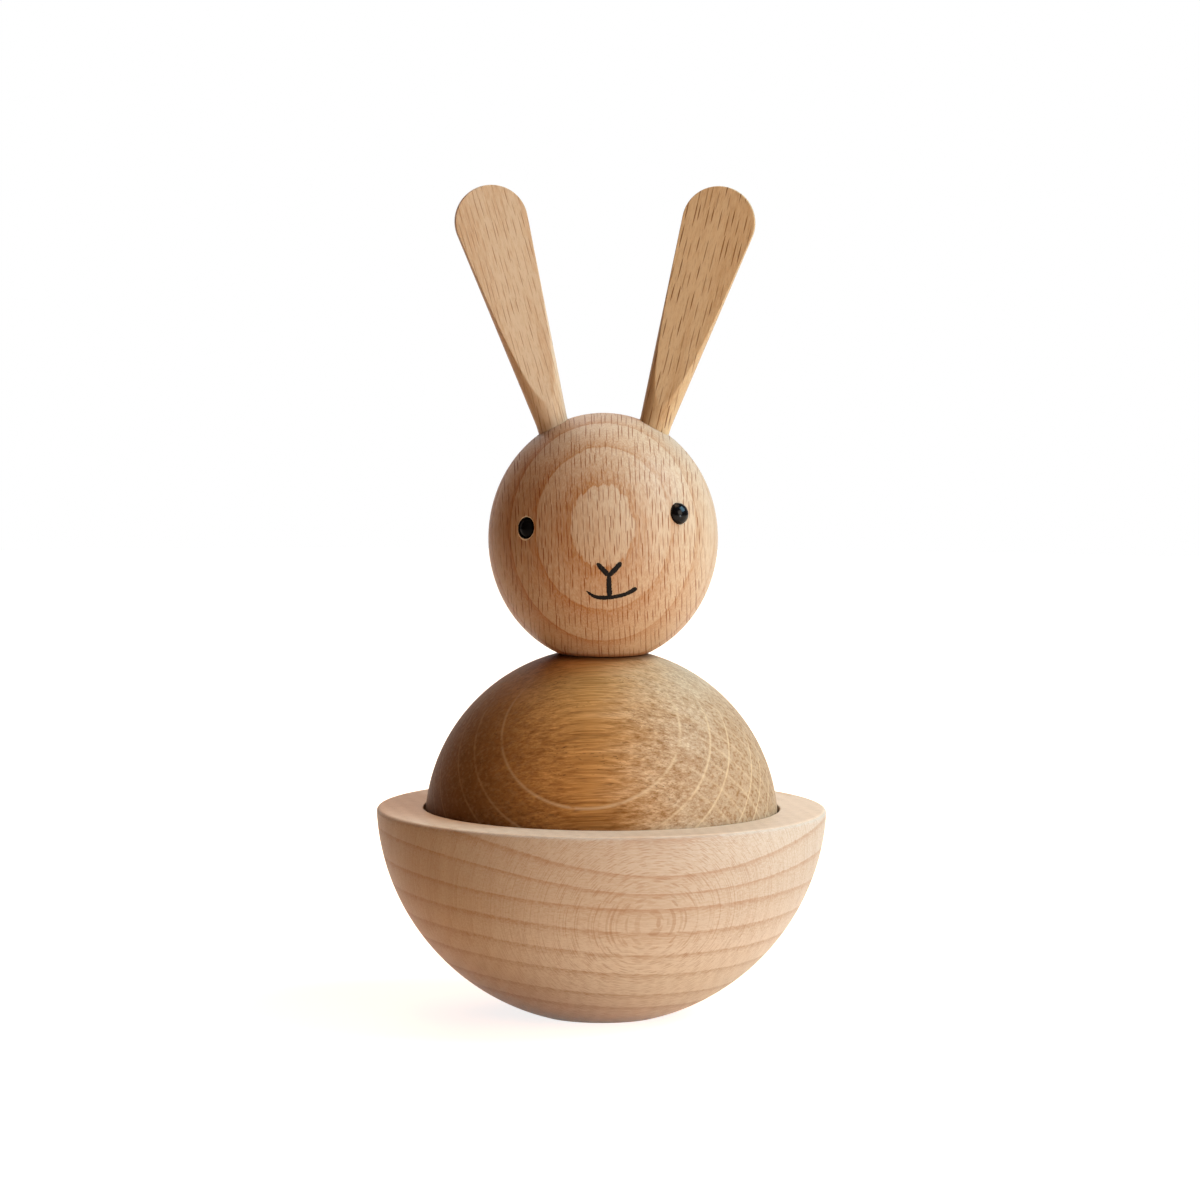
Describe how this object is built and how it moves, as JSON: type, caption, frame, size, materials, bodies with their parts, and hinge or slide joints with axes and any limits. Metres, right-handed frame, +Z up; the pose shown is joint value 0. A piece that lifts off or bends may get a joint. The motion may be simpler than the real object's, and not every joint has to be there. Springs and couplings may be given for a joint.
{
  "type": "wooden rabbit figure",
  "caption": "Turned wooden rabbit: a half-ball beech base, an oak dome that turns in it, an egg-shaped head that turns on the dome, paddle ears that twist and black peg eyes.",
  "frame": {"origin": "centre of the flat foot under the base, on the surface that the figure stands on", "axes": "+Z up along the turning axis of the base, the dome and the head, -Y towards the face, +X to the right as seen from the front"},
  "size_m": [0.0998, 0.0998, 0.1841],
  "materials": {
    "beech_base": "bare turned beech, fine sanded, lightly oiled",
    "beech_dowel": "plain beech dowel, hidden inside",
    "oak_dome": "oiled oak, satin",
    "beech_head": "turned beech, lightly oiled, satin",
    "beech_ears": "planed beech, lightly oiled, satin",
    "black_eyes": "gloss black"
  },
  "bodies": {
    "base": {"base_bowl": "beech_base", "base_dowel": "beech_dowel"},
    "dome": {"body_dome": "oak_dome", "neck_dowel": "beech_dowel"},
    "head": {"head": "beech_head", "eye_left": "black_eyes", "eye_right": "black_eyes"},
    "ear_left": {"ear_left": "beech_ears"},
    "ear_right": {"ear_right": "beech_ears"}
  },
  "joints": [
    {"name": "dome_turn", "type": "hinge", "parent": "base", "child": "dome", "pos_m": [0, 0, 0.04264], "axis": [0, 0, 1], "continuous": true},
    {"name": "head_turn", "type": "hinge", "parent": "dome", "child": "head", "pos_m": [0, 0, 0.08092], "axis": [0, 0, 1], "continuous": true},
    {"name": "ear_left_twist", "type": "hinge", "parent": "head", "child": "ear_left", "pos_m": [-0.01121, 0, 0.13115], "axis": [-0.294, 0, 0.9558], "continuous": true},
    {"name": "ear_right_twist", "type": "hinge", "parent": "head", "child": "ear_right", "pos_m": [0.01121, 0, 0.13115], "axis": [0.294, 0, 0.9558], "continuous": true}
  ]
}
